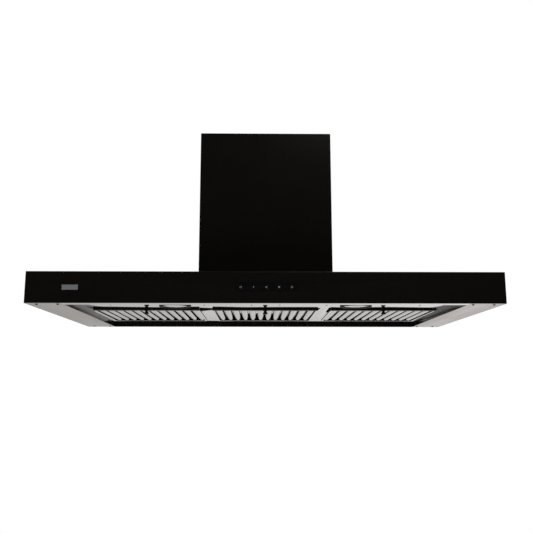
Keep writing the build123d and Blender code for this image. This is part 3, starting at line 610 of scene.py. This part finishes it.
# %% [markdown]
# ## Turned pieces
#
# Knobs, lamp rings and screw heads are turned or pressed round. On a lathe their shape is a list
# of radii along the axis, and it can be modelled in the same way: a circle is drawn at the first
# station, then extruded to the next height and resized to the next radius, again and again. A solid
# starts from a filled circle. A ring starts from an open one, and its outline comes back to where
# it began, where the doubled points are merged.

# %% A helper that turns a piece
def turned(name, x, y, stations, sides=64, ring=False):
    """A piece turned about an upright axis, through (radius, height) stations in metres."""
    radius, height = stations[0]
    bpy.ops.object.select_all(action="DESELECT")
    bpy.ops.mesh.primitive_circle_add(vertices=sides, radius=radius, fill_type="NOTHING" if ring else "NGON",
                                      location=(x, y, height))
    piece = bpy.context.object
    piece.name = name
    bpy.ops.object.transform_apply(location=True, rotation=True, scale=True)
    bpy.ops.object.mode_set(mode="EDIT")
    bpy.ops.mesh.select_all(action="SELECT")
    for next_radius, next_height in stations[1:] + (stations[:1] if ring else []):
        grow = next_radius / radius
        bpy.ops.mesh.extrude_region_move(TRANSFORM_OT_translate={"value": (0, 0, next_height - height)})
        bpy.ops.transform.resize(value=(grow, grow, 1), center_override=(x, y, next_height))
        radius, height = next_radius, next_height
    bpy.ops.mesh.select_all(action="SELECT")
    bpy.ops.mesh.remove_doubles(threshold=0.000005)
    bpy.ops.mesh.normals_make_consistent(inside=False)
    bpy.ops.object.mode_set(mode="OBJECT")
    bpy.ops.object.shade_smooth_by_angle(angle=radians(35))
    return piece


# %% [markdown]
# ## Filter knobs
#
# Each filter has one pull knob under its front bar, flared at both ends round a narrow waist that
# two fingers can hold. It is a turned shape, so the stations above are all that is needed. Its tip
# has a shallow dimple, left by the moulding. The flare is a millimetre wider than the CAD knob's.

# %% Filter knobs
def knob(side):
    low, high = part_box("filter_" + side + "_knob")
    x, y = (low.x + high.x) / 2, (low.y + high.y) / 2
    extra_flare = 0.0010
    tip = (high.x - low.x) / 2 + extra_flare
    top, base = high.z, low.z
    outline = [(0.0019, top), (0.0019, top - 0.0011), (tip, top - 0.0011), (tip - 0.0004, top - 0.0019),
               (0.0036, top - 0.0030), (0.0035, top - 0.0040), (tip - 0.0007, base + 0.0046),
               (tip - 0.0001, base + 0.0038), (tip, base + 0.0031), (tip, base + 0.0012),
               (tip - 0.0003, base + 0.0006), (tip - 0.0008, base + 0.0002), (tip - 0.0014, base),
               (tip - 0.0026, base), (0.0020, base + 0.0002), (0.0015, base + 0.0004),
               (0.0002, base + 0.0005)]
    return turned("knob_" + side, x, y, outline, 48)


for side in ("left", "centre", "right"):
    piece = stands_for(knob(side), "filter_" + side + "_knob")
    print(piece.name, len(piece.data.polygons), "faces")

# %% [markdown]
# ## Lamps
#
# A lamp under a hood is a pressed trim ring with an opal lens snapped in from above. The ring's
# lower face slopes in towards the lens, which is the edge that catches the light. The ring is
# turned with a closed outline, and hangs a little lower than the CAD ring. The lens is turned as a
# thin dish with fine concentric ribs: their stations alternate up and down, so a loop writes them.

# %% Lamps
def lamp_ring(side):
    low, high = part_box("lamp_" + side + "_bezel")
    x, y = (low.x + high.x) / 2, (low.y + high.y) / 2
    rim = (high.x - low.x) / 2
    extra_drop = 0.0018
    bottom, top = low.z - extra_drop, high.z
    seat = low.z + 0.003
    outline = [(rim, seat), (rim, bottom + 0.0014), (rim - 0.0004, bottom + 0.0006), (rim - 0.0012, bottom),
               (rim - 0.0055, bottom + 0.0001), (rim - 0.0066, bottom + 0.0005),
               (rim - 0.0082, bottom + 0.0011),
               (0.0340, bottom + 0.0013), (0.0340, seat - 0.0006), (0.0325, seat - 0.0005),
               (0.0322, top), (0.0349, top), (0.0349, seat)]
    return turned("lamp_ring_" + side, x, y, outline, 96, ring=True)


def lamp_lens(side, ribs=9):
    low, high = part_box("lamp_" + side + "_lens")
    x, y = (low.x + high.x) / 2, (low.y + high.y) / 2
    rim = (high.x - low.x) / 2
    outline = [(rim - 0.0006, high.z), (rim, high.z - 0.0003), (rim, low.z + 0.0004), (rim - 0.0005, low.z)]
    step = (rim - 0.004) / ribs
    for rib in range(ribs):
        radius = rim - 0.0014 - rib * step
        outline += [(radius, low.z), (radius - step * 0.5, low.z + 0.00035)]
    outline.append((0.0006, low.z + 0.0002))
    return turned("lamp_lens_" + side, x, y, outline, 96)


for side in ("left", "right"):
    stands_for(lamp_ring(side), "lamp_" + side + "_bezel")
    stands_for(lamp_lens(side), "lamp_" + side + "_lens")
    print("lamp", side, "made")

# %% [markdown]
# ## Cross-head screws
#
# Four screws hold each end cover from below. A pan head is turned like a knob. Its cross recess is
# cut with a Boolean modifier: the cutter starts as a small cube, whose four sides are extruded to
# make a cross. One screw is modelled and copied, and each copy gets a mesh of its own.

# %% A helper that selects faces by the way they point
def select_faces(piece, wanted):
    """In edit mode, select exactly the faces for which wanted(face) holds."""
    bpy.ops.mesh.select_all(action="DESELECT")
    bpy.ops.object.mode_set(mode="OBJECT")
    for face in piece.data.polygons:
        face.select = wanted(face)
    bpy.ops.object.mode_set(mode="EDIT")


# %% One cross-head screw
def cross_cutter(x, y, z, arm, width, depth):
    """A cross whose middle is at the point, to cut a recess with."""
    bpy.ops.object.select_all(action="DESELECT")
    bpy.ops.mesh.primitive_cube_add(size=1, location=(x, y, z))
    cutter = bpy.context.object
    cutter.scale = (width, width, depth)
    bpy.ops.object.transform_apply(location=True, rotation=True, scale=True)
    bpy.ops.object.mode_set(mode="EDIT")
    bpy.ops.mesh.select_mode(type="FACE")
    for way in (Vector((1, 0, 0)), Vector((-1, 0, 0)), Vector((0, 1, 0)), Vector((0, -1, 0))):
        core = Vector((x, y, z)) + way * width / 2
        reach = width / 4
        select_faces(cutter, lambda face: face.normal.dot(way) > 0.9 and (face.center - core).length < reach)
        bpy.ops.mesh.extrude_region_move(TRANSFORM_OT_translate={"value": way * (arm - width / 2)})
    bpy.ops.object.mode_set(mode="OBJECT")
    return cutter


def cut_away(piece, cutter):
    """Cut the cutter's shape out of the piece, and drop the cutter."""
    only(piece)
    cut = piece.modifiers.new("cut", "BOOLEAN")
    cut.operation = "DIFFERENCE"
    cut.solver = "EXACT"
    cut.object = cutter
    bpy.ops.object.modifier_apply(modifier="cut")
    bpy.data.objects.remove(cutter)


def cover_screw(x, y, face):
    """A pan-head screw, head down, whose head ends at that height."""
    top = face + 0.0088
    seat = face + 0.0017
    outline = [(0.0014, top), (0.0017, top - 0.0008), (0.0017, seat), (0.0032, seat), (0.0032, face + 0.0008),
               (0.0029, face + 0.0003), (0.0023, face), (0.0002, face)]
    piece = turned("cover_screw", x, y, outline, 32)
    cut_away(piece, cross_cutter(x, y, face, 0.0016, 0.0007, 0.0016))
    return piece


# %% Eight cover screws
screw_low, screw_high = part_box("side_cover_screws")
head_radius = 0.0032
screw_pitch = 0.053
outer = screw_high.x - head_radius
rear = screw_high.y - head_radius
first_screw = cover_screw(outer, rear, screw_low.z)
stands_for(first_screw, "side_cover_screws")
for x in (outer, outer - screw_pitch, screw_pitch - outer, -outer):
    for y in (rear, -rear):
        if (x, y) != (outer, rear):
            screw = bpy.data.objects.new("cover_screw", first_screw.data.copy())
            bpy.context.scene.collection.objects.link(screw)
            screw.data.transform(Matrix.Translation((x - outer, y - rear, 0)))
            screw.name = "cover_screw_" + str(len(bpy.data.objects))
            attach(screw, "canopy")
print("cover screws made")

# %% [markdown]
# ## Touch keys
#
# Five small marks show on the touch strip. They are generic ones: a power sign, a small lamp, two
# fan speeds and a clock. Each is drawn flat on the glass as a thin raised print. A ring is a short
# edge spun about its middle, and a bar or a blade is a thin plane with rounded corners, made where
# it belongs. The marks of an icon are joined, then given a tenth of a millimetre of thickness.

# %% Helpers for flat marks
panel_low, panel_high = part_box("touch_glass")
key_height = (panel_low.z + panel_high.z) / 2
mark_face = panel_low.y - 0.00005


def ring_mark(x, z, outer, inner, gap=0):
    """A flat ring on the touch strip, open at the top by gap degrees."""
    half = radians(gap / 2)
    way = Vector((sin(half), 0, cos(half)))
    middle = Vector((x, mark_face, z))
    mark = start_edge("mark", middle + way * inner, middle + way * outer)
    bpy.ops.mesh.spin(steps=28, angle=2 * half - 2 * pi, center=middle, axis=(0, 1, 0))
    bpy.ops.mesh.select_all(action="SELECT")
    bpy.ops.mesh.remove_doubles(threshold=0.00001)
    bpy.ops.object.mode_set(mode="OBJECT")
    return mark


def bar_mark(x, z, length, width, turn=0):
    """A flat bar on the touch strip, upright unless it is turned, with rounded ends."""
    bpy.ops.object.select_all(action="DESELECT")
    bpy.ops.mesh.primitive_plane_add(size=1, location=(x, mark_face, z), rotation=(pi / 2, radians(turn), 0))
    mark = bpy.context.object
    mark.scale = (width, length, 1)
    bpy.ops.object.transform_apply(location=True, rotation=True, scale=True)
    bpy.ops.object.mode_set(mode="EDIT")
    bpy.ops.mesh.select_all(action="SELECT")
    bpy.ops.mesh.bevel(offset=width * 0.4, segments=3, affect="VERTICES")
    bpy.ops.object.mode_set(mode="OBJECT")
    return mark


def touch_icon(name, marks):
    """The marks joined into one icon, a tenth of a millimetre thick."""
    bpy.ops.object.select_all(action="DESELECT")
    for mark in marks:
        mark.select_set(True)
    bpy.context.view_layer.objects.active = marks[0]
    bpy.ops.object.join()
    icon = bpy.context.object
    icon.name = "icon_" + name
    print_depth = icon.modifiers.new("depth", "SOLIDIFY")
    print_depth.thickness = 0.0001
    print_depth.offset = 0
    bpy.ops.object.modifier_apply(modifier="depth")
    paint(icon, "icon_print")
    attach(icon, "canopy")
    return icon


# %% Five touch icons
key_pitch = 0.0318
power_x, lamp_x, slow_x, fast_x, clock_x = (place * key_pitch for place in (-2, -1, 0, 1, 2))
z = key_height
power = [ring_mark(power_x, z, 0.0027, 0.0021, 70), bar_mark(power_x, z + 0.0018, 0.0028, 0.0006)]
lamp = [ring_mark(lamp_x, z + 0.0006, 0.0016, 0.0011), bar_mark(lamp_x, z - 0.0017, 0.0010, 0.0014)]
slow = [bar_mark(slow_x, z, 0.0052, 0.0009, turn) for turn in (60, -35)]
fast = [bar_mark(fast_x, z, 0.0054, 0.0009, turn) for turn in (20, 80, 140)]
clock = [ring_mark(clock_x, z, 0.0027, 0.0021), bar_mark(clock_x, z + 0.0007, 0.0016, 0.0005),
         bar_mark(clock_x + 0.0006, z, 0.0014, 0.0005, 90)]
for name, marks in (("power", power), ("lamp", lamp), ("slow", slow), ("fast", fast), ("clock", clock)):
    print(touch_icon(name, marks).name, "made")

# %% [markdown]
# ## Stage, light and camera
#
# The hood hangs above a pale floor, in a studio with a white backdrop. Black enamel shows its
# surroundings more than its own colour, so the room is dark in front and above, and bright below
# and behind, where the steel strips look. The world shader does that by direction. Two soft area
# lights add the broad sheen that shows the canopy's form from the side.

# %% Floor
bpy.ops.object.select_all(action="DESELECT")
bpy.ops.mesh.primitive_plane_add(size=9, location=(0, 0, -2.4))
floor = bpy.context.object
floor.name = "floor"
pale = Finish("pale_floor", roughness=0.7)
dust = pale.noise(1.6, 4.0)
pale.set(colour=pale.mix(dust, grey(0.80, 0.01), grey(0.86, 0.01)))
paint(floor, "pale_floor")
print("floor laid at", floor.location.z)

# %% World
world = bpy.data.worlds.new("studio")
bpy.context.scene.world = world
world.use_nodes = True
world.node_tree.nodes.clear()
sky = Recipe(world.node_tree)
right = sky.node("SeparateXYZ", inputs={"Vector": sky.node("TexCoord", output="Generated")}, output="X")
back = Value(sky, right.socket.node.outputs["Y"])
up = Value(sky, right.socket.node.outputs["Z"])
front_dark = (0 - back).step(0.05, 0.45) * up.step(-0.55, -0.30)
level = 0.68 * (1 + right * 0.75) * (1 - front_dark * 0.99)
seen = sky.node("Background", inputs={"Color": grey(1.0), "Strength": 1.0})
unseen = sky.node("Background", inputs={"Color": grey(1.0, 0.01), "Strength": level})
to_camera = sky.node("LightPath", output="Is Camera Ray")
shown = sky.node("MixShader", inputs={0: to_camera, 1: unseen, 2: seen})
target = world.node_tree.nodes.new("ShaderNodeOutputWorld")
sky.plug(target.inputs["Surface"], shown)
print("world made")

# %% Fill light
def soft_light(name, place, power, size):
    """A square soft light that faces the hood."""
    bpy.ops.object.select_all(action="DESELECT")
    bpy.ops.object.light_add(type="AREA", location=place)
    light = bpy.context.object
    light.name = name
    light.data.energy = power
    light.data.size = size
    light.rotation_euler = (Vector((0, -0.3, -0.35)) - light.location).to_track_quat("-Z", "Y").to_euler()
    print(name, power, "W")


soft_light("fill_low", (-1.8, -2.1, -2.1), 34.0, 1.4)
soft_light("fill_high", (1.0, -2.2, 2.0), 60.0, 1.6)

# %% Camera
camera_data = bpy.data.cameras.new("camera")
camera_data.sensor_width = 36.0
camera_data.lens = 45.19
camera = bpy.data.objects.new("camera", camera_data)
bpy.context.scene.collection.objects.link(camera)
camera.location = (-0.021, -1.974, -0.707)
camera.rotation_euler = (radians(90 + 10.30), 0, radians(-0.74))
bpy.context.scene.camera = camera
bpy.context.scene.view_settings.view_transform = "Standard"
